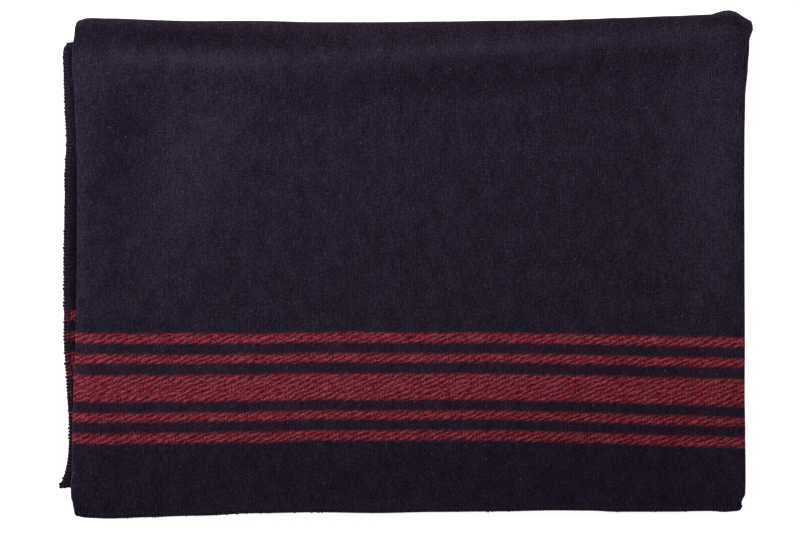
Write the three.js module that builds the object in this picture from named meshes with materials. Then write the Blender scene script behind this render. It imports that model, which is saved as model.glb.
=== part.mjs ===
// Folded wool blanket: one woven sheet with a bound edge, doubled across its width with a narrow
// flap tucked in at the left, then doubled twice along its length. Millimetres, +Z up, +X along the
// stripes, origin under the middle of the stack on the surface it rests on.
import * as THREE from "three";

const sheetThickness = 3.0; // fulled wool, lightly pressed
const passPitch = 10.9; // one doubled pass of the stack to the next
const halfGapBody = 2.75; // sheet's middle to the middle of its pass, away from the flap
const halfGapFlap = 3.6; // the same where the flap lies between the two sheets
const clothWidth = 1630; // cut width; the flap takes up what the two sheets leave
const flapFadeStart = -322; // x where the flap's extra layer ends
const flapFadeEnd = -270; // x where the doubled sheet has come together again
const edgeBulge = 1.1; // how far a bound edge rounds out past its last section

const outerFoldY = 267.8; // middle of the fold that wraps the whole stack
const innerFoldY = 250.4; // middle of the fold inside it
const firstFoldY = -267.2; // middle of the hidden fold at the loose end
const topEndY = -291.8; // loose end of the top pass
const innerEndY = -262.4; // loose end of the pass below it
const endDroop = 8; // how far the top pass hangs down past the one below
const droopStartY = -266;

const settledHeight = 0.86; // share of the lofty height that the stack keeps in its middle
const navyWool = 0x28202c;

// Plan outline of the folds, one row per station along the length.
// y, outer passes: left fold, right fold, loose edge; inner passes: left fold, right fold, loose edge
const planEdges = [
  [300, -386.0, 404.0, -381.0, -386.5, 396.0, -397.0],
  [280, -388.6, 407.2, -383.6, -386.5, 398.0, -397.5],
  [262, -390.6, 404.6, -385.6, -386.5, 398.5, -398.5],
  [250, -391.8, 403.4, -386.8, -387.0, 398.0, -401.6],
  [235, -392.2, 402.8, -387.2, -387.5, 397.5, -401.8],
  [193, -389.2, 400.0, -384.2, -386.0, 396.5, -401.0],
  [150, -387.4, 398.4, -382.4, -384.5, 395.5, -400.0],
  [93, -386.0, 398.0, -381.0, -383.5, 395.5, -400.8],
  [10, -386.4, 398.0, -381.4, -383.5, 396.0, -401.2],
  [-90, -388.0, 398.0, -383.0, -385.0, 396.5, -401.2],
  [-148, -390.4, 398.0, -385.4, -386.5, 397.0, -397.4],
  [-195, -392.0, 398.2, -387.0, -387.5, 397.5, -394.9],
  [-231, -392.8, 398.6, -387.8, -388.0, 398.6, -397.4],
  [-247, -393.0, 398.8, -388.0, -388.0, 399.4, -401.6],
  [-262, -393.0, 397.4, -388.0, -388.0, 399.6, -406.2],
  [-284, -391.2, 394.8, -386.2, -388.0, 399.6, -404.0],
  [-300, -388.4, 393.6, -383.4, -388.0, 399.4, -400.0],
];

// How far lines across the cloth bow from straight, one row per station across the width.
// x, top fold, shoulder, first stripe, last stripe, loose end
const lineBow = [
  [-408, -1.2, 0, 0.5, -2.0, -4.6],
  [-317, -1.2, 0, 0.1, -1.3, -4.6],
  [-246, -3.5, 0, 0.3, 0.2, -2.0],
  [-176, -3.7, 0, 0.6, 1.0, 0.8],
  [-105, -4.6, 0, 1.8, 2.5, 1.2],
  [-35, -4.7, 0, 1.3, 2.1, 1.4],
  [36, -4.4, 0, 0.9, 2.3, 2.3],
  [106, -3.4, 0, 0.7, 1.9, 2.4],
  [177, -2.2, 0, -0.5, -0.4, 3.5],
  [248, 0.4, 0, -2.1, -2.7, 2.3],
  [318, 2.3, 0, -3.4, -5.2, 2.2],
  [345, 3.6, 0, -3.9, -5.8, 3.4],
  [363, 5.9, 0, -4.2, -6.3, 3.5],
  [379, 9.0, 0, -4.5, -6.6, 3.5],
  [391, 5.9, 0, -4.7, -6.8, 3.5],
  [400, -1.0, 0, -4.8, -7.0, 3.6],
  [409, -11.0, 0, -4.9, -7.1, 4.0],
];
const bowLevels = [289, 228, -81, -209, -293]; // y of each of those lines

// Broad rises and dips of the settled stack.
// x, y, half-length along, half-width across, turn in degrees, rise in mm at the top sheet
const relief = [
  [-190, 130, 150, 34, 62, 1.6], // ridge beside the valley at the upper left
  [-262, 110, 150, 30, 64, -2.2], // that valley
  [-120, 226, 260, 22, 3, 2.0], // roll behind the wrapping fold
  [60, 190, 320, 20, 4, -1.4], // trough below the roll
  [120, -40, 260, 120, 10, -0.9], // low middle
  [372, 268, 44, 40, 0, 2.4], // full corner where two folds meet
  [-40, -232, 420, 34, 0, -1.8], // drop towards the loose end
];

function smoothStep(from, to, value) {
  const s = Math.min(1, Math.max(0, (value - from) / (to - from)));
  return s * s * (3 - 2 * s);
}

// Smoothly blended lookup of one column of a table whose rows run up or down in their first column.
function lookUp(table, column, at) {
  const rising = table[0][0] < table[1][0];
  const rows = rising ? table : [...table].reverse();
  if (at <= rows[0][0]) return rows[0][column];
  for (let i = 1; i < rows.length; i += 1) {
    const [low, high] = [rows[i - 1], rows[i]];
    if (at <= high[0]) {
      return low[column] + (high[column] - low[column]) * smoothStep(low[0], high[0], at);
    }
  }
  return rows[rows.length - 1][column];
}

function halfGap(x) {
  return halfGapFlap + (halfGapBody - halfGapFlap) * smoothStep(flapFadeStart, flapFadeEnd, x);
}

// The way the doubled cloth runs along its length: rows with a place, a direction and how far the
// row belongs to the inner passes (0 to 1).
function lengthPath() {
  const rows = [];
  const level = (pass) => (pass + 0.5) * passPitch;
  const straight = (fromY, toY, pass, count, inner) => {
    for (let i = 0; i < count; i += 1) {
      const y = fromY + ((toY - fromY) * i) / count;
      rows.push({ y, z: level(pass), ty: Math.sign(toY - fromY), tz: 0, inner });
    }
  };
  const fold = (y, fromPass, toPass, outward, count, innerFrom, innerTo) => {
    const middle = (level(fromPass) + level(toPass)) / 2;
    const radius = Math.abs(level(toPass) - level(fromPass)) / 2;
    const up = Math.sign(toPass - fromPass);
    for (let i = 0; i < count; i += 1) {
      const turn = (Math.PI * i) / count;
      rows.push({
        y: y + outward * radius * Math.sin(turn),
        z: middle - up * radius * Math.cos(turn),
        ty: outward * Math.cos(turn),
        tz: up * Math.sin(turn),
        inner: innerFrom + (innerTo - innerFrom) * (i / count),
      });
    }
  };
  for (const y of [topEndY, -284, -275]) {
    const slide = (droopStartY - y) / (droopStartY - topEndY);
    const drop = endDroop * slide * slide;
    const slope = (2 * endDroop * slide) / (droopStartY - topEndY);
    const length = Math.hypot(1, slope);
    rows.push({ y, z: level(3) - drop, ty: 1 / length, tz: slope / length, inner: 0 });
  }
  straight(droopStartY, outerFoldY, 3, 10, 0);
  fold(outerFoldY, 3, 0, 1, 9, 0, 0);
  straight(outerFoldY, firstFoldY, 0, 6, 0);
  fold(firstFoldY, 0, 1, -1, 6, 0, 1);
  straight(firstFoldY, innerFoldY, 1, 6, 1);
  fold(innerFoldY, 1, 2, 1, 6, 1, 1);
  straight(innerFoldY, innerEndY, 2, 8, 1);
  rows.push({ y: innerEndY, z: level(2), ty: -1, tz: 0, inner: 1 });
  return rows;
}

// The doubled cloth cut across: flap, left fold, upper sheet, right fold, lower sheet. Each point has
// x, height n off the middle of the pass, and the sheet's own normal in that section.
function widthSection(row) {
  const edge = (outerColumn) =>
    lookUp(planEdges, outerColumn, row.y) * (1 - row.inner) +
    lookUp(planEdges, outerColumn + 3, row.y) * row.inner;
  const [left, right, loose] = [edge(1), edge(2), edge(3)];
  const points = [];
  const leftRadius = halfGapFlap / 2;
  const rightRadius = halfGapBody;
  const leftStart = left + leftRadius + sheetThickness / 2;
  const rightStart = right - rightRadius - sheetThickness / 2;
  const sheets = 2 * rightStart - leftStart - loose + Math.PI * (leftRadius + rightRadius);
  const flapStations = [0, 12, 30, clothWidth - sheets]; // the layers share these, so they stay parallel
  const bodyStations = [0.105, 0.145, 0.21, 0.31, 0.42, 0.54, 0.66, 0.78, 0.88, 0.94, 0.975];
  for (const station of [...flapStations].reverse().slice(0, 3)) {
    points.push({ x: leftStart + station, n: 0, nx: 0, nn: -1 });
  }
  for (let i = 0; i < 5; i += 1) {
    const turn = (Math.PI * i) / 5;
    points.push({
      x: leftStart - leftRadius * Math.sin(turn),
      n: leftRadius - leftRadius * Math.cos(turn),
      nx: -Math.sin(turn),
      nn: -Math.cos(turn),
    });
  }
  const sheetStations = [
    ...flapStations.map((station) => leftStart + station),
    ...bodyStations.map((share) => leftStart + (rightStart - leftStart) * share),
  ];
  for (const x of sheetStations) points.push({ x, n: halfGap(x), nx: 0, nn: 1 });
  for (let i = 0; i < 6; i += 1) {
    const turn = (Math.PI * i) / 6;
    points.push({
      x: rightStart + rightRadius * Math.sin(turn),
      n: rightRadius * Math.cos(turn),
      nx: Math.sin(turn),
      nn: Math.cos(turn),
    });
  }
  const tucked = leftStart + flapStations[2]; // the lower sheet follows the upper one as far as this
  const lowerStations = [
    rightStart,
    ...[...sheetStations].reverse().filter((x) => x >= tucked),
    ...[0.35, 0.7, 0.94, 1].map((share) => tucked + (loose - tucked) * share),
  ];
  for (const x of lowerStations) points.push({ x, n: -halfGap(x), nx: 0, nn: -1 });
  return points;
}

function heightShare(x, y) {
  const lofty = 3 * passPitch + 2 * halfGap(x) + sheetThickness;
  let share = settledHeight;
  share += (1 - settledHeight) * (1 - smoothStep(flapFadeStart, flapFadeEnd + 14, x));
  share += (0.99 - settledHeight) * smoothStep(345, 396, x);
  share += (1 - share) * smoothStep(205, 262, y);
  const flat = smoothStep(flapFadeStart, flapFadeEnd, x); // the full flap zone keeps its height
  for (const [atX, atY, along, across, turn, rise] of relief) {
    const [c, s] = [Math.cos((turn * Math.PI) / 180), Math.sin((turn * Math.PI) / 180)];
    const u = ((x - atX) * c + (y - atY) * s) / along;
    const v = ((y - atY) * c - (x - atX) * s) / across;
    share += (flat * rise * Math.exp(-u * u - v * v)) / lofty;
  }
  return share;
}

function bowAt(x, y) {
  const shift = bowLevels.map((_, i) => lookUp(lineBow, i + 1, x));
  const stations = bowLevels.map((levelY, i) => [levelY, shift[i]]);
  return lookUp(stations, 1, y);
}

// Where a point of the lofty stack lies once it has settled: the stack is pressed down, never sideways
// through itself, and its lowest sheet stays flat.
function settle(x, y, z) {
  const lowest = passPitch / 2 - halfGap(x) - sheetThickness / 2;
  const height = (z - lowest) * heightShare(x, y);
  return [x, y + bowAt(x, y), Math.abs(height) < 1e-4 ? 0 : height];
}

function foldedSheet() {
  const rows = lengthPath();
  const grid = rows.map((row) => widthSection(row));
  const across = grid[0].length;
  const along = rows.length;
  const positions = [];
  const place = (i, j, side, outX, outY) => {
    const [row, point] = [rows[j], grid[j][i]];
    const n = point.n + (side * point.nn * sheetThickness) / 2;
    const x = point.x + (side * point.nx * sheetThickness) / 2 + outX * edgeBulge;
    const y = row.y - row.tz * n + outY * row.ty * edgeBulge;
    const z = row.z + row.ty * n + outY * row.tz * edgeBulge;
    positions.push(...settle(x, y, z));
    return positions.length / 3 - 1;
  };
  const face = (side) => rows.map((_, j) => grid[j].map((_point, i) => place(i, j, side, 0, 0)));
  const [outer, inner] = [face(1), face(-1)];
  const triangles = [];
  const quad = (a, b, c, d) => triangles.push(a, b, c, a, c, d);
  for (let j = 0; j + 1 < along; j += 1) {
    for (let i = 0; i + 1 < across; i += 1) {
      quad(outer[j][i], outer[j][i + 1], outer[j + 1][i + 1], outer[j + 1][i]);
      quad(inner[j][i], inner[j + 1][i], inner[j + 1][i + 1], inner[j][i + 1]);
    }
  }
  const ring = [];
  for (let i = 0; i < across - 1; i += 1) ring.push([i, 0]);
  for (let j = 0; j < along - 1; j += 1) ring.push([across - 1, j]);
  for (let i = across - 1; i > 0; i -= 1) ring.push([i, along - 1]);
  for (let j = along - 1; j > 0; j -= 1) ring.push([0, j]);
  const rim = ring.map(([i, j]) => {
    const outX = i === 0 ? 1 : i === across - 1 ? -1 : 0;
    const outY = j === 0 ? -1 : j === along - 1 ? 1 : 0;
    const share = outX && outY ? Math.SQRT1_2 : 1;
    return place(i, j, 0, outX * share, outY * share);
  });
  ring.forEach(([i, j], k) => {
    const next = (k + 1) % ring.length;
    const [ni, nj] = ring[next];
    quad(outer[j][i], rim[k], rim[next], outer[nj][ni]);
    quad(rim[k], inner[j][i], inner[nj][ni], rim[next]);
  });
  const geometry = new THREE.BufferGeometry();
  geometry.setAttribute("position", new THREE.Float32BufferAttribute(positions, 3));
  geometry.setIndex(triangles);
  geometry.computeBoundingBox();
  const box = geometry.boundingBox;
  geometry.translate(-(box.min.x + box.max.x) / 2, -(box.min.y + box.max.y) / 2, 0);
  geometry.computeVertexNormals();
  return geometry;
}

const blanket = new THREE.Mesh(
  foldedSheet(),
  new THREE.MeshStandardMaterial({ name: "wool_cloth", color: navyWool, roughness: 1, metalness: 0 }),
);
blanket.name = "blanket";

const part = new THREE.Group();
part.name = "folded_wool_blanket";
part.add(blanket);

export default part;
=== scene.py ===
import math
import bpy
import bmesh
import numpy as np
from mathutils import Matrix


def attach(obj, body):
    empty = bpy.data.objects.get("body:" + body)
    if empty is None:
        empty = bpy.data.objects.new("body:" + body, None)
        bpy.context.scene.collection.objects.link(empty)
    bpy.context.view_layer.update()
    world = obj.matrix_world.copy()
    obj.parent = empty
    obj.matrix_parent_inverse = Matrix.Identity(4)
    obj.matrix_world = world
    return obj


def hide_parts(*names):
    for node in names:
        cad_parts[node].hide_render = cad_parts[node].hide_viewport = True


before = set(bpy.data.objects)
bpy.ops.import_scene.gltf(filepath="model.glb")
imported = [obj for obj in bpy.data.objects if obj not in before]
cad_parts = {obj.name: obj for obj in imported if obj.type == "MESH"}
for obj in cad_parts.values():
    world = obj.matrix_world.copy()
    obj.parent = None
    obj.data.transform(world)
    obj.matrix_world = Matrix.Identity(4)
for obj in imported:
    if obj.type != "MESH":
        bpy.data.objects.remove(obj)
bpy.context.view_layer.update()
print("frame loaded:", sorted(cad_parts))

mm = 0.001

# the stack, in millimetres, with the same sizes as the solid
stack = {
    "thickness": 3.0,  # fulled wool
    "passPitch": 10.9,  # one doubled pass to the next
    "halfGapBody": 2.75,  # sheet to the middle of its pass
    "halfGapFlap": 3.6,  # the same where the flap is tucked in
    "clothWidth": 1630.0,
    "flapFade": (-322.0, -270.0),  # x over which the flap thins out
    "outerFoldY": 259.0,
    "outerReach": 25.1,  # the slack fold comes forward in a long nose
    "innerFoldY": 253.6,
    "firstFoldY": -267.2,
    "flareY": -222.0,  # from the first fold to here the loose edge works its way out
    "topEndY": -291.8,
    "innerEndY": -262.5,
    "endDroop": 8.0,
    "droopStartY": -266.0,
    "innerHemDepth": 12.0,  # the rows are closer over this much of the inner end
    "endSlope": 0.16,  # share of the height lost towards the loose end
    "endSlopeSpan": (150.0, 296.0),  # how far towards that end the loss begins and is whole
    "settled": 0.86,  # share of the lofty height left in the middle
    "flapRise": (-372.0, -296.0),  # x to which the flap keeps the stack lofty, and where it has settled
    "sideRise": (345.0, 396.0),  # x where the side fold begins to lift it, and where it is lofty
    "sideShare": 0.99,  # share of the lofty height at the side fold
    "rollRise": (188.0, 240.0),  # y where the slack top fold begins to lift it, and where it is lofty
    "rollSpan": (-180.0, 340.0),  # x over which that roll climbs to the right
    "rollClimb": 40.0,
    "shift": (-0.07, 1.47),  # puts the middle of the outline on the origin
}

# y, outer passes: left fold, right fold, loose edge; inner passes: the same three
planEdges = np.array([
    (-300, -387.4, 393.4, -383.0, -388.0, 399.4, -405.0),
    (-281, -390.8, 395.7, -386.4, -388.0, 399.8, -405.6),
    (-274, -392.8, 399.2, -388.0, -388.0, 400.0, -406.2),
    (-264, -393.0, 399.6, -388.0, -388.0, 400.0, -406.6),
    (-257, -393.0, 399.6, -388.0, -388.0, 400.0, -407.3),
    (-254.6, -392.6, 399.6, -388.0, -388.0, 399.9, -403.5),
    (-247, -391.8, 399.6, -388.0, -388.0, 399.8, -401.3),
    (-231, -391.4, 399.4, -387.8, -388.0, 398.8, -396.8),
    (-195, -390.6, 398.8, -387.0, -387.5, 397.5, -394.9),
    (-148, -389.0, 398.0, -385.4, -386.5, 397.0, -397.4),
    (-90, -386.6, 398.2, -383.0, -385.0, 396.5, -401.0),
    (10, -385.0, 397.9, -381.4, -383.5, 396.0, -401.3),
    (93, -384.6, 397.6, -381.0, -383.5, 395.5, -400.3),
    (150, -386.0, 397.8, -382.4, -384.5, 395.5, -398.4),
    (193, -387.8, 398.5, -384.2, -386.0, 396.5, -400.5),
    (235, -390.8, 401.8, -387.2, -387.5, 397.5, -402.0),
    (250, -390.6, 403.1, -386.8, -387.0, 398.0, -402.6),
    (263, -389.4, 403.2, -385.6, -386.5, 398.5, -401.3),
    (270, -388.5, 405.6, -385.0, -386.5, 398.5, -398.3),
    (276, -388.3, 408.0, -384.6, -386.5, 398.0, -397.3),
    (284, -387.6, 408.2, -383.6, -386.5, 398.0, -397.3),
    (300, -386.0, 405.0, -381.0, -386.5, 396.0, -396.8),
])

# x, then how far lines across bow: loose end, last stripe, first stripe, shoulder, top fold
lineBow = np.array([
    (-408, -1.2, -2.0, 0.5, 0, -21.0),
    (-402, -0.9, -2.0, 0.5, 0, -15.5),
    (-399.4, -0.4, -2.0, 0.5, 0, -7.4),
    (-397, 0.1, -2.0, 0.5, 0, -4.8),
    (-394, 1.0, -1.6, 0.7, 0, -3.3),
    (-391.6, 0.6, -1.1, 0.9, 0, -4.7),
    (-390, -0.6, -1.1, 0.9, 0, -3.2),
    (-387, -1.4, -0.5, 0.9, 0, -2.8),
    (-384, -2.5, -0.6, 0.8, 0, -2.0),
    (-381, -3.5, -0.9, 0.6, 0, 0.0),
    (-372, -4.2, -1.4, 0.3, 0, 0.9),
    (-350, -5.1, -1.6, 0.2, 0, 0.3),
    (-301, -3.8, -1.2, 0.1, 0, -1.0),
    (-246, -2.6, -0.7, 0.0, 0, -1.8),
    (-176, 0.4, 0.2, 0.2, 0, -1.6),
    (-105, 1.5, 2.2, 1.5, 0, -3.2),
    (-35, 0.6, 2.0, 1.2, 0, -3.2),
    (36, 1.9, 2.3, 0.9, 0, -2.5),
    (106, 2.5, 2.1, 0.8, 0, -1.6),
    (177, 3.7, 0.2, -0.2, 0, -0.9),
    (218, 3.4, -0.9, -1.0, 0, 0.5),
    (248, 2.1, -1.9, -1.7, 0, 1.7),
    (318, 2.2, -4.2, -3.0, 0, 4.0),
    (345, 2.9, -4.9, -3.5, 0, 5.2),
    (360, 3.1, -5.3, -3.8, 0, 5.8),
    (368, 2.7, -5.5, -4.0, 0, 8.3),
    (379, 1.9, -5.8, -4.2, 0, 11.2),
    (387, 3.4, -6.0, -4.3, 0, 9.9),
    (394, 3.6, -6.2, -4.4, 0, 5.8),
    (401, 4.4, -6.4, -4.5, 0, 0.2),
    (406, 5.5, -6.5, -4.6, 0, -0.9),
    (409, 6.5, -6.6, -4.7, 0, -1.0),
])
bowLevels = (-293.0, -209.0, -81.0, 228.0, 289.0)  # y of those lines

# broad rises and dips: x, y, half-length, half-width, turn in degrees, rise at the top sheet
relief = (
    (-300, 128, 135, 34, 76, -3.0),
    (-215, 120, 120, 46, 70, 1.6),
    (-250, 261, 165, 9, -2, -2.2),
    (-255, 240, 150, 12, -3, 0.9),
    (110, 252, 240, 10, 3, 1.0),
    (70, 213, 260, 20, 5, -1.6),
    (120, -30, 240, 90, 12, -1.4),
    (372, 268, 44, 40, 0, 2.0),
    (-150, -236, 130, 22, 2, -1.6),
    (190, -228, 150, 26, -3, -1.5),
)


def smoothStep(low, high, value):
    s = np.clip((value - low) / (high - low), 0.0, 1.0)
    return s * s * (3 - 2 * s)


def lookUp(stations, values, at):  # eased from each station to the next
    at = np.clip(at, stations[0], stations[-1])
    k = np.clip(np.searchsorted(stations, at, side="right") - 1, 0, len(stations) - 2)
    s = (at - stations[k]) / (stations[k + 1] - stations[k])
    s = s * s * (3 - 2 * s)
    return values[k] + (values[k + 1] - values[k]) * s


def halfGap(x):
    ease = smoothStep(*stack["flapFade"], x)
    return stack["halfGapFlap"] + (stack["halfGapBody"] - stack["halfGapFlap"]) * ease


def mound(x, y, atX, atY, along, across, turn):
    c = math.cos(math.radians(turn))
    s = math.sin(math.radians(turn))
    u = ((x - atX) * c + (y - atY) * s) / along
    v = ((y - atY) * c - (x - atX) * s) / across
    return np.exp(-u * u - v * v)


def heightShare(x, y):
    lofty = 3 * stack["passPitch"] + 2 * halfGap(x) + stack["thickness"]
    settled = stack["settled"]
    share = settled + (1 - settled) * (1 - smoothStep(*stack["flapRise"], x))
    share = share + (stack["sideShare"] - settled) * smoothStep(*stack["sideRise"], x)
    climb = stack["rollClimb"] * smoothStep(*stack["rollSpan"], x)
    low, high = stack["rollRise"]
    share = share + (1 - share) * smoothStep(low + climb, high + climb, y)
    share = share * (1 - stack["endSlope"] * smoothStep(*stack["endSlopeSpan"], -y))
    for atX, atY, along, across, turn, rise in relief:
        share = share + rise * mound(x, y, atX, atY, along, across, turn) / lofty
    return share


def bowAt(x, y):
    lines = [lookUp(lineBow[:, 0], lineBow[:, i + 1], x) for i in range(len(bowLevels))]
    bow = lines[0] + np.zeros_like(y)
    for i in range(len(bowLevels) - 1):
        ease = smoothStep(bowLevels[i], bowLevels[i + 1], y)
        bow = np.where(y > bowLevels[i], lines[i] + (lines[i + 1] - lines[i]) * ease, bow)
    return bow


def settle(x, y, z):  # presses the lofty stack down, never through itself
    lowest = stack["passPitch"] / 2 - halfGap(x) - stack["thickness"] / 2
    height = (z - lowest) * heightShare(x, y)
    return np.stack([x + stack["shift"][0], y + bowAt(x, y) + stack["shift"][1], height], axis=-1)


# how finely each stretch of the cloth is divided
sheetCuts = {
    "flap": 7,
    "leftFold": 10,
    "upperSheet": 108,
    "rightFold": 14,
    "lowerSheet": 44,
    "looseHem": 7,
    "looseHemFrom": 0.975,  # share of the lower sheet before the closer columns at its loose edge
    "droop": 8,
    "topPass": 78,
    "outerFold": 22,
    "bottomPass": 34,
    "firstFold": 14,
    "flare": 8,
    "thirdPass": 28,
    "innerFold": 14,
    "secondPass": 40,
    "innerHem": 6,
}


def lengthRows():  # y, z, direction y, direction z, share of the inner passes, run along the cloth
    level = [(k + 0.5) * stack["passPitch"] for k in range(4)]
    rows = []

    def straight(fromY, toY, z, count, innerFrom, innerTo):
        for k in range(count):
            inner = innerFrom + (innerTo - innerFrom) * k / count
            rows.append((fromY + (toY - fromY) * k / count, z, np.sign(toY - fromY), 0.0, inner))

    def fold(y, fromZ, toZ, outward, count, inner, reach=0.0):
        radius = abs(toZ - fromZ) / 2
        reach = reach or radius
        up = np.sign(toZ - fromZ)
        for k in range(count):
            turn = math.pi * k / count
            foldY = y + outward * reach * math.sin(turn)
            foldZ = (fromZ + toZ) / 2 - up * radius * math.cos(turn)
            stepY = outward * reach * math.cos(turn)
            stepZ = up * radius * math.sin(turn)
            size = math.hypot(stepY, stepZ)
            rows.append((foldY, foldZ, stepY / size, stepZ / size, inner))

    span = stack["droopStartY"] - stack["topEndY"]
    for k in range(sheetCuts["droop"]):
        slide = 1 - k / sheetCuts["droop"]
        slope = 2 * stack["endDroop"] * slide / span
        size = math.hypot(1, slope)
        droop = stack["endDroop"] * slide ** 2
        rows.append((stack["droopStartY"] - span * slide, level[3] - droop, 1 / size, slope / size, 0.0))
    straight(stack["droopStartY"], stack["outerFoldY"], level[3], sheetCuts["topPass"], 0.0, 0.0)
    fold(stack["outerFoldY"], level[3], level[0], 1, sheetCuts["outerFold"], 0.0, stack["outerReach"])
    straight(stack["outerFoldY"], stack["firstFoldY"], level[0], sheetCuts["bottomPass"], 0.0, 0.0)
    fold(stack["firstFoldY"], level[0], level[1], -1, sheetCuts["firstFold"], 0.0)
    straight(stack["firstFoldY"], stack["flareY"], level[1], sheetCuts["flare"], 0.0, 1.0)
    straight(stack["flareY"], stack["innerFoldY"], level[1], sheetCuts["thirdPass"], 1.0, 1.0)
    fold(stack["innerFoldY"], level[1], level[2], 1, sheetCuts["innerFold"], 1.0)
    hemY = stack["innerEndY"] + stack["innerHemDepth"]
    straight(stack["innerFoldY"], hemY, level[2], sheetCuts["secondPass"], 1.0, 1.0)
    straight(hemY, stack["innerEndY"], level[2], sheetCuts["innerHem"], 1.0, 1.0)
    rows.append((stack["innerEndY"], level[2], -1.0, 0.0, 1.0))
    rows = np.array(rows)
    run = np.concatenate([[0.0], np.cumsum(np.hypot(*np.diff(rows[:, :2], axis=0).T))])
    return np.column_stack([rows, run])


def widthColumns(rows):  # x, height off the pass, normal x, normal n and run, for each row and column
    y = rows[:, 0]
    inner = rows[:, 4]
    edge = []
    for k in (1, 2, 3):
        outerEdge = lookUp(planEdges[:, 0], planEdges[:, k], y)
        innerEdge = lookUp(planEdges[:, 0], planEdges[:, k + 3], y)
        edge.append((outerEdge * (1 - inner) + innerEdge * inner)[:, None])
    left, right, loose = edge
    half = stack["thickness"] / 2
    leftRadius = stack["halfGapFlap"] / 2
    rightRadius = stack["halfGapBody"]
    leftStart = left + leftRadius + half
    rightStart = right - rightRadius - half
    sheets = 2 * rightStart - leftStart - loose + math.pi * (leftRadius + rightRadius)
    flap = stack["clothWidth"] - sheets

    def steps(count):
        return (np.arange(count) / count)[None, :]

    blocks = []
    s = steps(sheetCuts["flap"])
    x = leftStart + flap * (1 - s)
    blocks.append((x, x * 0, x * 0, x * 0 - 1))
    turn = math.pi * steps(sheetCuts["leftFold"])
    x = leftStart - leftRadius * np.sin(turn)
    blocks.append((x, leftRadius * (1 - np.cos(turn)) + x * 0, -np.sin(turn) + x * 0, -np.cos(turn) + x * 0))
    s = steps(sheetCuts["upperSheet"])
    x = leftStart + (rightStart - leftStart) * s
    blocks.append((x, halfGap(x), x * 0, x * 0 + 1))
    turn = math.pi * steps(sheetCuts["rightFold"])
    x = rightStart + rightRadius * np.sin(turn)
    blocks.append((x, rightRadius * np.cos(turn) + x * 0, np.sin(turn) + x * 0, np.cos(turn) + x * 0))
    hemFrom = sheetCuts["looseHemFrom"]
    body = np.linspace(0, hemFrom, sheetCuts["lowerSheet"], endpoint=False)
    s = np.concatenate([body, np.linspace(hemFrom, 1, sheetCuts["looseHem"] + 1)])[None, :]
    x = rightStart + (loose - rightStart) * s
    blocks.append((x, -halfGap(x), x * 0, x * 0 - 1))
    x, n, normalX, normalN = (np.concatenate(part, axis=1) for part in zip(*blocks))
    step = np.hypot(np.diff(x, axis=1), np.diff(n, axis=1))
    run = np.concatenate([np.zeros((len(y), 1)), np.cumsum(step, axis=1)], axis=1)
    return x, n, normalX, normalN, run


rows = lengthRows()
columnX, columnN, normalX, normalN, columnRun = widthColumns(rows)
acrossCuts = columnX.shape[1] - 1
alongCuts = len(rows) - 1
clothLength = rows[-1, 5]
midRow = 40  # a row and a column well inside the top sheet
midColumn = 60
fromX = columnRun[:, midColumn] - columnX[:, midColumn]
topSheet = (fromX[midRow], rows[midRow, 5] - rows[midRow, 0])  # from the stack's x, y to the flat cloth
skew = fromX - topSheet[0]  # the outer passes' threads lie straight along y
clothU = columnRun - (skew * (1 - rows[:, 4]))[:, None]
print("cloth divided into", acrossCuts, "by", alongCuts, "cells; length", round(clothLength), "mm")


def facePoints(side):  # one face of the sheet, settled, in millimetres
    n = columnN + side * normalN * stack["thickness"] / 2
    x = columnX + side * normalX * stack["thickness"] / 2
    y = rows[:, 0][:, None] - rows[:, 3][:, None] * n
    z = rows[:, 1][:, None] + rows[:, 2][:, None] * n
    return settle(x, y, z)


upperFace = facePoints(1)
lowerFace = facePoints(-1)


def finishObject(name, bm, materials):
    mesh = bpy.data.meshes.new(name)
    bm.to_mesh(mesh)
    bm.free()
    for material in materials:
        mesh.materials.append(material)
    mesh.shade_smooth()
    piece = bpy.data.objects.new(name, mesh)
    bpy.context.collection.objects.link(piece)
    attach(piece, "root")
    return piece


def linearColour(hexText):
    values = [int(hexText[i:i + 2], 16) / 255 for i in (0, 2, 4)]
    return tuple(v / 12.92 if v <= 0.04045 else ((v + 0.055) / 1.055) ** 2.4 for v in values) + (1.0,)


def addNode(tree, kind, inputs=(), stops=(), **settings):  # a node given as an input links its first output
    node = tree.nodes.new(kind)
    for key, value in settings.items():
        setattr(node, key, value)
    for key, value in inputs.items() if isinstance(inputs, dict) else enumerate(inputs):
        if isinstance(value, bpy.types.Node):
            value = value.outputs[0]
        if isinstance(value, bpy.types.NodeSocket):
            tree.links.new(value, node.inputs[key])
        else:
            node.inputs[key].default_value = value
    if stops:  # places along a ramp with their colours
        ramp = node.color_ramp.elements
        ramp[0].position, ramp[0].color = stops[0]
        ramp[1].position, ramp[1].color = stops[-1]
        for at, tint in stops[1:-1]:
            ramp.new(at).color = tint
    return node


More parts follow.
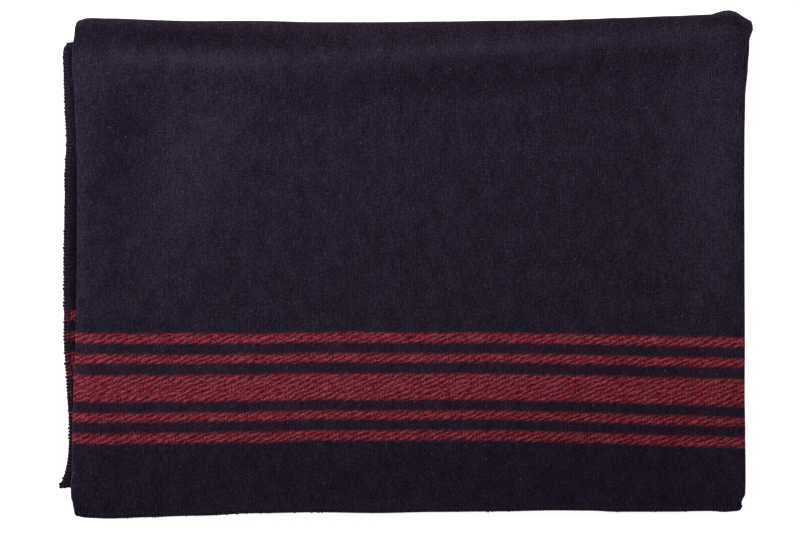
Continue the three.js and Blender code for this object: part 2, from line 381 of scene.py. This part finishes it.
clothLook = {
    "navyDark": "1b1423",
    "navy": "2b2334",
    "navyLight": "443a4e",
    "navyWarm": (1.05, 0.97, 0.94, 1),  # tints of the dye lots in the wool
    "navyCool": (0.92, 1.02, 1.05, 1),
    "navyBrown": (1.02, 0.92, 0.80, 1),
    # painted shadow: the tint that darkens the strip beside the sewing on the loose side
    "navyShadowed": (0.72, 0.69, 0.72, 1),
    "strayRed": (1.28, 0.90, 0.94, 1),  # red fibres among the navy between the stripes
    "redDark": "480613",
    "red": "882a3b",
    "redLight": "c86070",
    "redWarm": (1.24, 0.72, 0.62, 1),
    "redCool": (0.86, 1.10, 1.26, 1),
    "lint": "6a6472",
    "lintApart": 21.0,  # mm
    "sheen": "6c6084",
    # mm from an end of the cloth
    "stripes": ((84.7, 95.9), (109.4, 119.3), (132.9, 163.1), (177.3, 187.0), (200.6, 211.3)),
    "strayRedSpan": (78.0, 84.0, 212.0, 218.0),  # stray red fibres start, are full, last, and end
    "stripeSpan": 240.0,  # mm, past the last stripe
    "stripeBlur": 1.8,  # mm
    "stripeRagged": (3.0, 0.9, 2.4),  # mm that threads, twill and the loom's drift move an edge
    "innerTrim": 4.5,  # mm cut closer to the stripes at the inner end
    # painted light and shade on the top sheet, lighter or darker where its folds, creases and brushed nap
    # catch or miss the light: x, y, half-length, half-width, turn in degrees, tone
    "napLightAndShade": (
        (-275, 268, 175, 14, -2, -0.23), (-372, 256, 28, 20, 0, -0.14), (-259, 240, 150, 11, -3, 0.19),
        (111, 254, 240, 10, 3, 0.24), (70, 213, 260, 18, 5, -0.12), (-338, 142, 85, 24, 76, -0.12),
        (-243, 122, 120, 34, 70, 0.14), (-381, 50, 240, 9, 90, 0.13), (352, 120, 190, 42, 90, 0.18),
        (0, -250, 480, 36, 0, -0.11), (-80, -284, 200, 8, 0, 0.12), (290, -190, 170, 110, 0, -0.08),
        (300, 286, 240, 10, 1, -0.12), (-345, 216, 50, 16, 0, 0.10), (-390.6, -210, 85, 1.2, 90, 0.45),
        (371, 276, 24, 4.5, -10, -0.28), (377, 284, 14, 3.0, -3, 0.32),
    ),
    "browned": (0, 284, 480, 16, 0),  # the same, where the top of the fold is tinted browner
    "shadowIn": 12.4,  # mm from the loose side to the strip of painted shadow beside the sewing, where the top sheet's edge shades the sheet below
    "shadowUp": 260.0,  # mm from the inner end to the middle of that strip
    "shadowSize": (340.0, 4.0),  # its half-length and half-width
    # painted shadow: how much that strip is darkened
    "shadowTone": -0.3,
    "twillAcross": 12.5,  # mm between twill lines along the stripe
    "twillAlong": 5.94,  # mm between twill lines along the length
    "floatPitch": 3.7,  # mm from one float of a weft thread to the next
    "floatStray": 1.432,  # how many floats the twill's wander moves them by
    "ribPitch": 3.1,  # mm between warp ribs
    "navyLevel": 0.495,  # how light each wool is in the middle of its range
    "redLevel": 0.5,
    "navyShares": (0.16, 0.60, 1.95, 0.40, 0.40, 0.05),  # ribs, streaks, felt, pits, clouds, twill
    "redShares": (0.38, 1.04, 1.75, 0.12, 0.30),  # twill, floats, specks, float ends, clouds
}


def woolCloth():  # fulled wool twill, brushed: matt, faint broken ribs, red weft stripes with open diagonals
    look = clothLook
    material = bpy.data.materials.new("fulled wool twill")
    material.use_nodes = True
    tree = material.node_tree
    tree.nodes.clear()
    flat = addNode(tree, "ShaderNodeUVMap", uv_map="flatCloth")
    place = addNode(tree, "ShaderNodeVectorMath", {0: flat, 3: 1 / mm}, operation="SCALE")
    parts = addNode(tree, "ShaderNodeSeparateXYZ", [place])
    u = parts.outputs[0]
    v = parts.outputs[1]

    def grain(sizeU, sizeV, turn=0.0, detail=2.0, rough=0.5):  # of a size in mm
        spread = addNode(tree, "ShaderNodeMapping", {
            "Vector": place, "Rotation": (0, 0, math.radians(turn)), "Scale": (sizeU, sizeV, 1)},
            vector_type="TEXTURE")
        return addNode(tree, "ShaderNodeTexNoise", {
            "Vector": spread, "Scale": 1.0, "Detail": detail, "Roughness": rough}, noise_dimensions="2D")

    def dyeLot(sizeU, sizeV):  # soft patches, none in between
        return addNode(tree, "ShaderNodeMath", [grain(sizeU, sizeV), 3.0, -1.35],
                       operation="MULTIPLY_ADD", use_clamp=True)

    def band(atU, atV, along, across, turn):  # a soft long patch of the flat cloth
        inBand = addNode(tree, "ShaderNodeMapping", {
            "Vector": place, "Location": (atU, atV, 0), "Rotation": (0, 0, math.radians(turn)),
            "Scale": (along, across, 1)}, vector_type="TEXTURE")
        far = addNode(tree, "ShaderNodeVectorMath", [inBand, inBand], operation="DOT_PRODUCT")
        fade = addNode(tree, "ShaderNodeMath", [far.outputs["Value"], -1.0], operation="MULTIPLY")
        return addNode(tree, "ShaderNodeMath", [fade], operation="EXPONENT")

    def topBand(atX, atY, *shape):  # the same, placed by where it lies on the top sheet
        return band(atX + topSheet[0], atY + topSheet[1], *shape)

    def wave(turns):  # from 0 to 1 and back with each turn
        swing = addNode(tree, "ShaderNodeMath", [turns, 2 * math.pi], operation="MULTIPLY")
        swing = addNode(tree, "ShaderNodeMath", [swing], operation="SINE")
        return addNode(tree, "ShaderNodeMath", [swing, 0.5, 0.5], operation="MULTIPLY_ADD")

    def layered(level, patterns, shares):  # each pattern lifts or lowers the level by its share
        for pattern, share in zip(patterns, shares):
            centred = addNode(tree, "ShaderNodeMath", [pattern, 0.5], operation="SUBTRACT")
            level = addNode(tree, "ShaderNodeMath", [centred, share, level], operation="MULTIPLY_ADD")
        return level

    def tinted(colour, tints):
        for where, tint in tints:
            mixed = addNode(tree, "ShaderNodeMix", {0: where, 6: colour, 7: look[tint]},
                            data_type="RGBA", blend_type="MULTIPLY")
            colour = mixed.outputs[2]
        return colour

    # twill lines, wandering a little, and the single weft floats that lie along them
    stray = addNode(tree, "ShaderNodeMath", [grain(16, 10), 1.1, -0.55], operation="MULTIPLY_ADD")
    turns = addNode(tree, "ShaderNodeMath", [u, 1 / look["twillAcross"], stray], operation="MULTIPLY_ADD")
    turns = addNode(tree, "ShaderNodeMath", [v, -1 / look["twillAlong"], turns], operation="MULTIPLY_ADD")
    twill = wave(turns)
    floats = grain(7.5, 1.5, 25, 2.0, 0.55)
    specks = grain(1.6, 1.5, 12, 2.0, 0.6)
    turns = addNode(tree, "ShaderNodeMath", [stray, look["floatStray"]], operation="MULTIPLY")
    turns = addNode(tree, "ShaderNodeMath", [u, 1 / look["floatPitch"], turns], operation="MULTIPLY_ADD")
    floatEnds = wave(turns)

    # stripes: distance from the nearer end, stepped along the twill and ragged by the threads
    fromInner = addNode(tree, "ShaderNodeMath", [clothLength + look["innerTrim"], v], operation="SUBTRACT")
    nearEnd = addNode(tree, "ShaderNodeMath", [v, fromInner], operation="MINIMUM")
    threads = grain(3.2, 1.3, 25, 1.0)
    drift = grain(30, 20, 0, 1.0)
    ragged = layered(nearEnd, (threads, twill, drift), look["stripeRagged"])
    span = look["stripeSpan"]
    station = addNode(tree, "ShaderNodeMath", [ragged, span], operation="DIVIDE")
    blur = look["stripeBlur"] / span
    black = (0, 0, 0, 1)
    white = (1, 1, 1, 1)
    stops = [(0.0, black)]
    for low, high in look["stripes"]:
        stops += [(low / span - blur, black), (low / span + blur, white),
                  (high / span - blur, white), (high / span + blur, black)]
    stripe = addNode(tree, "ShaderNodeValToRGB", [station], stops + [(1.0, black)])
    stops = [(at / span, tint) for at, tint in zip(look["strayRedSpan"], (black, white, white, black))]
    between = addNode(tree, "ShaderNodeValToRGB", [station], [(0.0, black)] + stops + [(1.0, black)])

    # warp ribs, broken along their length by the nap
    ribStray = addNode(tree, "ShaderNodeMath", [grain(25, 160, 0, 1.0), 0.7, -0.35], operation="MULTIPLY_ADD")
    turns = addNode(tree, "ShaderNodeMath", [u, 1 / look["ribPitch"], ribStray], operation="MULTIPLY_ADD")
    ribs = wave(turns)
    streaks = grain(1.6, 12.0)
    felt = grain(1.9, 1.8, 0, 3.0, 0.7)
    pits = grain(5.0, 4.2)
    clouds = grain(17, 26)
    # painted light and shade: soft bands that lighten or darken the colour where the folds and nap catch or
    # miss the light; the strip beside the sewing then gets painted shadow
    paintedLightAndShade = 0.0
    for *shape, tone in look["napLightAndShade"]:
        paintedLightAndShade = addNode(tree, "ShaderNodeMath", [topBand(*shape), tone, paintedLightAndShade], operation="MULTIPLY_ADD")
    # painted shadow on the strip beside the sewing, under the edge of the top sheet
    edgeShadowAt = (stack["clothWidth"] - look["shadowIn"], clothLength - look["shadowUp"])
    edgeShadow = band(*edgeShadowAt, *look["shadowSize"], 90)
    paintedLightAndShade = addNode(tree, "ShaderNodeMath", [edgeShadow, look["shadowTone"], paintedLightAndShade], operation="MULTIPLY_ADD")

    level = addNode(tree, "ShaderNodeMath", [paintedLightAndShade, look["navyLevel"]], operation="ADD")
    tone = layered(level, (ribs, streaks, felt, pits, clouds, twill), look["navyShares"])
    navy = addNode(tree, "ShaderNodeValToRGB", [tone], [
        (0.10, linearColour(look["navyDark"])), (0.50, linearColour(look["navy"])),
        (0.95, linearColour(look["navyLight"]))])
    navy = tinted(navy, (
        (dyeLot(8.0, 7.0), "navyWarm"), (dyeLot(9.0, 10.0), "navyCool"), (between, "strayRed"),
        (topBand(*look["browned"]), "navyBrown"), (edgeShadow, "navyShadowed")))

    # the red takes half as much of the painted light and shade
    level = addNode(tree, "ShaderNodeMath", [paintedLightAndShade, 0.5, look["redLevel"]], operation="MULTIPLY_ADD")
    tone = layered(level, (twill, floats, specks, floatEnds, grain(26, 7, 8)), look["redShares"])
    red = addNode(tree, "ShaderNodeValToRGB", [tone], [
        (0.12, linearColour(look["redDark"])), (0.50, linearColour(look["red"])),
        (0.95, linearColour(look["redLight"]))])
    red = tinted(red, ((dyeLot(10.0, 5.0), "redWarm"), (dyeLot(8.0, 6.0), "redCool")))
    colour = addNode(tree, "ShaderNodeMix", {0: stripe, 6: navy, 7: red}, data_type="RGBA")

    # stray lint, a speck here and there
    dots = addNode(tree, "ShaderNodeTexVoronoi", {"Vector": place, "Scale": 1 / look["lintApart"]},
                   voronoi_dimensions="2D")
    pick = addNode(tree, "ShaderNodeSeparateColor", [dots.outputs["Color"]])
    size = addNode(tree, "ShaderNodeMath", [pick, 0.1, -0.045], operation="MULTIPLY_ADD")
    lint = addNode(tree, "ShaderNodeMath", [dots.outputs["Distance"], size], operation="LESS_THAN")
    lint = addNode(tree, "ShaderNodeMath", [lint, 0.4], operation="MULTIPLY")
    colour = addNode(tree, "ShaderNodeMix", {
        0: lint, 6: colour.outputs[2], 7: linearColour(look["lint"])}, data_type="RGBA")

    navyHeight = addNode(tree, "ShaderNodeMath", [streaks, 0.5], operation="MULTIPLY")
    navyHeight = addNode(tree, "ShaderNodeMath", [felt, 0.7, navyHeight], operation="MULTIPLY_ADD")
    redHeight = addNode(tree, "ShaderNodeMath", [twill, 0.25], operation="MULTIPLY")
    redHeight = addNode(tree, "ShaderNodeMath", [floats, 0.35, redHeight], operation="MULTIPLY_ADD")
    height = addNode(tree, "ShaderNodeMix", {0: stripe, 2: navyHeight, 3: redHeight}, data_type="FLOAT")
    bump = addNode(tree, "ShaderNodeBump", {"Height": height, "Distance": 0.8 * mm, "Strength": 0.5})
    shader = addNode(tree, "ShaderNodeBsdfPrincipled", {
        "Base Color": colour.outputs[2], "Normal": bump, "Roughness": 0.95, "IOR": 1.54,
        "Specular IOR Level": 0.06, "Sheen Weight": 0.06, "Sheen Roughness": 0.5,
        "Sheen Tint": linearColour(look["sheen"])})
    addNode(tree, "ShaderNodeOutputMaterial", {"Surface": shader})
    return material


yarnLook = {
    "wrap": ("1d141f", "43384a"),  # dark and light of the yarn over the edge
    "chain": ("241f2e", "464058"),  # the same for the finer thread along the needle line
    "ply": 1.1,  # mm between a yarn's turns
}


def overlockYarn(name, dark, light):  # twisted wool yarn: matt, with light only along each turn
    material = bpy.data.materials.new(name)
    material.use_nodes = True
    tree = material.node_tree
    tree.nodes.clear()
    place = addNode(tree, "ShaderNodeTexCoord").outputs["Object"]
    ply = addNode(tree, "ShaderNodeTexNoise", {
        "Vector": place, "Scale": 1 / (yarnLook["ply"] * mm), "Detail": 2.0})
    stops = [(0.35, linearColour(dark)), (0.7, linearColour(light))]
    colour = addNode(tree, "ShaderNodeValToRGB", [ply], stops)
    bump = addNode(tree, "ShaderNodeBump", {"Height": ply, "Distance": 0.3 * mm, "Strength": 0.5})
    shader = addNode(tree, "ShaderNodeBsdfPrincipled", {
        "Base Color": colour, "Normal": bump, "Roughness": 0.95,
        "Specular IOR Level": 0.06, "Sheen Weight": 0.06, "Sheen Roughness": 0.5})
    addNode(tree, "ShaderNodeOutputMaterial", {"Surface": shader})
    return material


clothMaterial = woolCloth()
yarnMaterials = [overlockYarn("wool overlock yarn", *yarnLook["wrap"]),
                 overlockYarn("wool chain thread", *yarnLook["chain"])]


def foldedSheet():
    bm = bmesh.new()
    layer = bm.loops.layers.uv.new("flatCloth")
    bmesh.ops.create_grid(bm, x_segments=acrossCuts, y_segments=alongCuts, size=1.0)
    cell = {}
    for vert in bm.verts:
        cell[vert] = (round((vert.co.y + 1) / 2 * alongCuts), round((vert.co.x + 1) / 2 * acrossCuts))
    for vert, (j, i) in cell.items():
        vert.co = upperFace[j, i] * mm
    front = list(bm.verts)
    copy = bmesh.ops.duplicate(bm, geom=bm.verts[:] + bm.edges[:] + bm.faces[:])
    back = {copy["vert_map"][vert]: cell[vert] for vert in front}
    for vert, (j, i) in back.items():
        vert.co = lowerFace[j, i] * mm
    backFaces = [item for item in copy["geom"] if isinstance(item, bmesh.types.BMFace)]
    bmesh.ops.reverse_faces(bm, faces=backFaces)
    bmesh.ops.bridge_loops(bm, edges=[edge for edge in bm.edges if edge.is_boundary])
    for face in bm.faces:  # both faces and the cut edge take their place on the flat cloth
        for loop in face.loops:
            j, i = cell.get(loop.vert) or back[loop.vert]
            loop[layer].uv = (clothU[j, i] * mm, rows[j, 5] * mm)
    return finishObject("woolSheet", bm, [clothMaterial])


sheet = foldedSheet()
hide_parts("blanket")
print("folded sheet made:", len(sheet.data.polygons), "faces")

overlock = {
    "pitch": 4.0,  # mm between stitches
    "depth": 8.0,  # mm from the edge to the needle line
    "wrap": (1.7, 0.75),  # mm, half the yarn's width along the edge and half its height
    "chain": (0.5, 0.4),  # mm, the same for the thread along the needle line
    "rim": 0.1,  # mm the yarn's middle stands out past the cut edge
    "knots": (0.25, 0.7),  # share of the wraps that are pulled tight and stand out, and how far in mm
    "uneven": (0.14, 0.09, 0.12, 1.0),  # spread of lean, depth and thickness, and mm of wander
    "squareEnds": 10,  # wraps next to a corner that turn square to it
    "neatEnds": 4,  # wraps next to a corner that wander less
    "pressedLoft": 0.35,  # share of the yarn's height left where it is pressed in the stack
    "sides": 5,
    "seed": 101,
}

# one wrap: share of the depth in from the edge, height in half-thicknesses, share of the pitch along, taper
wrapPath = np.array([
    (1.00, 0.70, 0.00, 0.45),
    (0.86, 1.15, 0.06, 0.70),
    (0.45, 1.22, 0.25, 0.72),
    (0.10, 1.02, 0.42, 1.00),
    (-0.10, 0.00, 0.50, 1.00),
    (0.10, -1.02, 0.58, 1.00),
    (0.45, -1.22, 0.75, 0.72),
    (0.86, -1.15, 0.94, 0.70),
    (1.00, -0.70, 1.00, 0.45),
])
chainPath = np.array([
    (0.58, 1.35, -0.15, 0.40),
    (0.62, 1.60, 0.20, 1.00),
    (0.70, 1.65, 0.60, 1.00),
    (0.76, 1.35, 1.00, 0.40),
])


def fromEnds(count):  # how many wraps each is from the nearer end
    return np.minimum(np.arange(count), np.arange(count)[::-1])


def edgeFrames(edge, inside, room):  # middle, outward, half-thickness, tangent and room at each wrap
    upper = upperFace[edge]
    lower = lowerFace[edge]
    middle = (upper + lower) / 2
    inner = (upperFace[inside] + lowerFace[inside]) / 2
    run = np.concatenate([[0], np.cumsum(np.linalg.norm(np.diff(middle, axis=0), axis=1))])
    count = int(run[-1] / overlock["pitch"])
    at = (np.arange(count) + 0.5) * run[-1] / count

    def sample(values):
        return np.stack([np.interp(at, run, values[:, k]) for k in range(3)], axis=1)

    def unit(values):
        return values / np.maximum(np.linalg.norm(values, axis=1, keepdims=True), 1e-9)

    def evened(values):  # over five neighbours, so the stitches stay side by side round a bend
        padded = np.pad(values, ((2, 2), (0, 0)), "edge")
        return sum(padded[k:k + len(values)] for k in range(5)) / 5

    normal = sample((upper - lower) / 2)
    tangent = unit(evened(np.gradient(sample(middle), axis=0)))
    outward = sample(middle - inner)
    # the wraps turn with the edge, but lie square at its corners
    turned = np.minimum(fromEnds(count) / overlock["squareEnds"], 1)[:, None]
    outward = unit(outward - tangent * np.sum(outward * tangent, axis=1, keepdims=True) * turned)
    return sample(middle), outward, normal, tangent, np.interp(at, run, room)


def tubes(path, across, size, taper):  # one tapered tube for each row of path points
    count, steps = path.shape[:2]
    sides = overlock["sides"]
    along = np.gradient(path, axis=1)
    along /= np.linalg.norm(along, axis=2, keepdims=True)
    wide = across[:, None, :] - along * np.sum(across[:, None, :] * along, axis=2, keepdims=True)
    wide /= np.linalg.norm(wide, axis=2, keepdims=True)
    tall = np.cross(along, wide)
    turn = (2 * np.pi * np.arange(sides) / sides)[None, None, :, None]
    ring = (wide[:, :, None, :] * size[0][:, None, None, None] * np.cos(turn)
            + tall[:, :, None, :] * size[1][:, None, None, None] * np.sin(turn))
    points = path[:, :, None, :] + ring * taper[None, :, None, None]
    index = np.arange(count * steps * sides).reshape(count, steps, sides)
    turned = np.roll(index, -1, axis=2)
    walls = np.stack([index[:, :-1], turned[:, :-1], turned[:, 1:], index[:, 1:]], axis=-1).reshape(-1, 4)
    return points.reshape(-1, 3), walls.tolist() + index[:, 0, ::-1].tolist() + index[:, -1].tolist()


def overlockEdge(name, frames):
    middle, outward, normal, tangent, room = frames
    rng = np.random.default_rng(len(name) * overlock["seed"])
    count = len(middle)
    leanSpread, deepSpread, thickSpread, swaySpread = overlock["uneven"]
    lean = rng.normal(0, leanSpread, count)[:, None]
    deep = overlock["depth"] * (1 + rng.normal(0, deepSpread, count))[:, None]
    thick = 1 + rng.normal(0, thickSpread, count)
    sway = np.convolve(rng.normal(0, swaySpread, count), np.full(5, 0.2), "same")
    share, stand = overlock["knots"]
    sway = sway + np.where(rng.random(count) < share, stand, 0.0)
    sway = (sway * np.minimum(fromEnds(count) / overlock["neatEnds"], 1))[:, None]
    loft = overlock["pressedLoft"] + (1 - overlock["pressedLoft"]) * room

    def follow(shape, side):
        path = []
        for inward, height, along, _ in shape:
            reach = -inward * deep if inward > 0 else overlock["rim"] + sway
            rise = 1 + (abs(height) - 1) * room[:, None] if abs(height) > 1 else abs(height)
            slide = overlock["pitch"] * (along - 0.5 + lean * (0.5 - abs(along - 0.5)))
            path.append(middle + outward * reach + normal * (side * np.sign(height) * rise) + tangent * slide)
        return np.stack(path, axis=1)

    points = []
    faces = []
    marks = []
    wrapSize = (overlock["wrap"][0] * thick, overlock["wrap"][1] * thick * loft)
    chainSize = (overlock["chain"][0] * thick, overlock["chain"][1] * loft)
    layers = (
        (wrapPath, 1, tangent, wrapSize, 0),
        (chainPath, 1, outward, chainSize, 1),
        (chainPath, -1, outward, chainSize, 1),
    )
    for shape, side, across, size, mark in layers:
        newPoints, newFaces = tubes(follow(shape, side), across, size, shape[:, 3])
        start = sum(len(group) for group in points)
        points.append(newPoints)
        faces += [[corner + start for corner in face] for face in newFaces]
        marks += [mark] * len(newFaces)
    mesh = bpy.data.meshes.new(name)
    mesh.from_pydata((np.concatenate(points) * mm).tolist(), [], faces)
    mesh.polygons.foreach_set("material_index", marks)
    bm = bmesh.new()
    bm.from_mesh(mesh)
    bmesh.ops.recalc_face_normals(bm, faces=bm.faces)
    bpy.data.meshes.remove(mesh)
    return finishObject(name, bm, yarnMaterials)


# each edge in the cloth's grid, a line inside it, and the room the stack leaves for its yarn
edgeLines = (
    ("overlockTopEnd", 0, 2, np.ones(acrossCuts + 1)),
    ("overlockInnerEnd", -1, -1 - sheetCuts["innerHem"], np.full(acrossCuts + 1, 0.4)),
    ("overlockLooseSide", np.s_[:, -1], np.s_[:, -2], 0.1 + 0.9 * rows[:, 4]),
    ("overlockFlapSide", np.s_[:, 0], np.s_[:, 1], np.zeros(alongCuts + 1)),
)
edges = [overlockEdge(name, edgeFrames(edge, inside, room)) for name, edge, inside, room in edgeLines]
print("overlocked edges made:", [len(piece.data.polygons) for piece in edges])

studio = {
    "floor": "f4f3f1",
    "floorSize": 6.0,  # m, half a side
    "floorDrop": 0.4,  # mm, clear of the cloth that lies on it
    "floorGlow": 1.0,  # a lit sweep, so the stack throws hardly any shadow
    "imageWidth": 800,
    "pixelsPerMm": 0.85,  # the picture's scale
    "scaleHeight": 0.026,  # at this height in the stack
    "distance": 3.4,  # camera above that height
    "centre": (-6.5, -1.5),  # mm, middle of the frame
    "sensor": 36.0,  # mm
    "fill": 0.14,  # light from all round
    # name, place, aim, size in m, watts
    "panels": (
        ("overheadPanel", (-0.12, 0.32, 0.8), (-0.12, 0.3, 0), (1.2, 0.35), 2.6),
        ("leftPanel", (-1.25, 0.6, 0.65), (0, 0, 0), (0.5, 0.5), 8.5),
        ("rightPanel", (1.2, 0.35, 0.9), (0, 0, 0), (0.7, 0.7), 2.5),
    ),
}


def paleFloor():
    bm = bmesh.new()
    bmesh.ops.create_grid(bm, x_segments=1, y_segments=1, size=studio["floorSize"])
    bmesh.ops.translate(bm, verts=bm.verts, vec=(0, 0, -studio["floorDrop"] * mm))
    mesh = bpy.data.meshes.new("floor")
    bm.to_mesh(mesh)
    bm.free()
    material = bpy.data.materials.new("matt white paper")  # a smooth pale sweep with no gloss
    material.use_nodes = True
    shader = material.node_tree.nodes["Principled BSDF"]
    shader.inputs["Base Color"].default_value = linearColour(studio["floor"])
    shader.inputs["Roughness"].default_value = 0.9
    shader.inputs["Specular IOR Level"].default_value = 0.1
    shader.inputs["Emission Color"].default_value = linearColour(studio["floor"])
    shader.inputs["Emission Strength"].default_value = studio["floorGlow"]
    mesh.materials.append(material)
    floor = bpy.data.objects.new("floor", mesh)
    bpy.context.collection.objects.link(floor)


def softLight(name, place, aim, size, power):
    light = bpy.data.lights.new(name, "AREA")
    light.shape = "RECTANGLE"
    light.size, light.size_y = size
    light.energy = power
    lamp = bpy.data.objects.new(name, light)
    lamp.location = place
    away = np.array(place) - np.array(aim)
    tilt = math.atan2(math.hypot(away[0], away[1]), away[2])
    lamp.rotation_euler = (tilt, 0, math.atan2(away[1], away[0]) + math.pi / 2)
    bpy.context.collection.objects.link(lamp)


def camera():
    data = bpy.data.cameras.new("camera")
    wide = studio["imageWidth"] / studio["pixelsPerMm"] * mm
    data.sensor_width = studio["sensor"]
    data.lens = studio["sensor"] * studio["distance"] / wide
    data.clip_end = 50
    eye = bpy.data.objects.new("camera", data)
    x, y = studio["centre"]
    eye.location = (x * mm, y * mm, studio["scaleHeight"] + studio["distance"])
    bpy.context.collection.objects.link(eye)
    bpy.context.scene.camera = eye


paleFloor()
camera()
for panel in studio["panels"]:
    softLight(*panel)
world = bpy.data.worlds.new("studio")
world.use_nodes = True
background = world.node_tree.nodes["Background"]
background.inputs["Color"].default_value = (1, 1, 1, 1)
background.inputs["Strength"].default_value = studio["fill"]
bpy.context.scene.world = world
bpy.context.scene.view_settings.view_transform = "Standard"
print("studio set")
